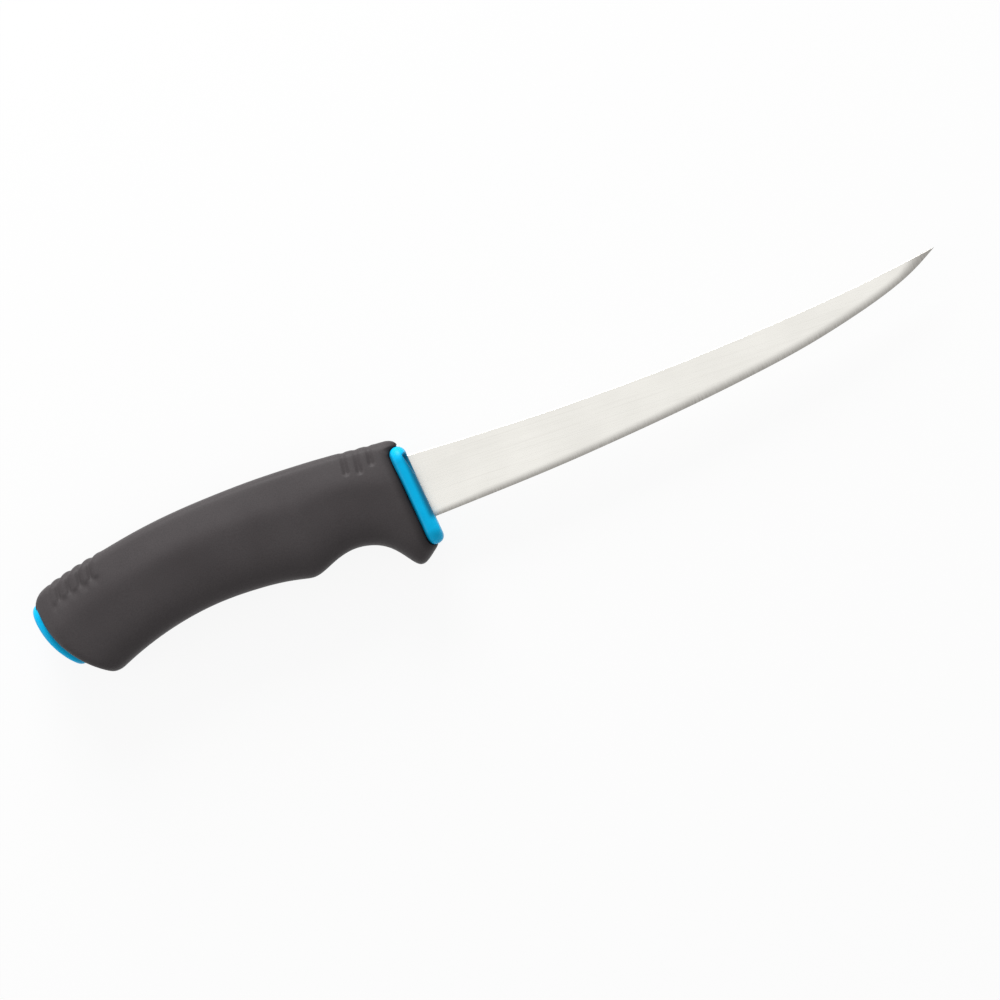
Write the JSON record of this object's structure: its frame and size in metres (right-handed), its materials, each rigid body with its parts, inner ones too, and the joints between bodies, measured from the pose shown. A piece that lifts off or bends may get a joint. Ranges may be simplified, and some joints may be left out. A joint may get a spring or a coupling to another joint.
{
  "type": "fillet knife",
  "caption": "Fillet knife with a narrow upswept stainless blade, a soft moulded grip with a finger groove and ribs, and a hard collar and butt pad.",
  "frame": {"origin": "middle of the blade's root, on the front face of the collar", "axes": "the knife lies on its side: +X along the blade's root towards the tip, +Y towards the spine, +Z through the thickness"},
  "size_m": [0.3085, 0.0466, 0.0222],
  "materials": {
    "blade_steel": "satin, ground lengthwise",
    "core_plastic": "smooth moulded, semi-gloss cyan blue",
    "grip_rubber": "matte moulded, warm dark grey"
  },
  "bodies": {
    "root": {"blade": "blade_steel", "handle_core": "core_plastic", "grip": "grip_rubber"}
  },
  "joints": []
}
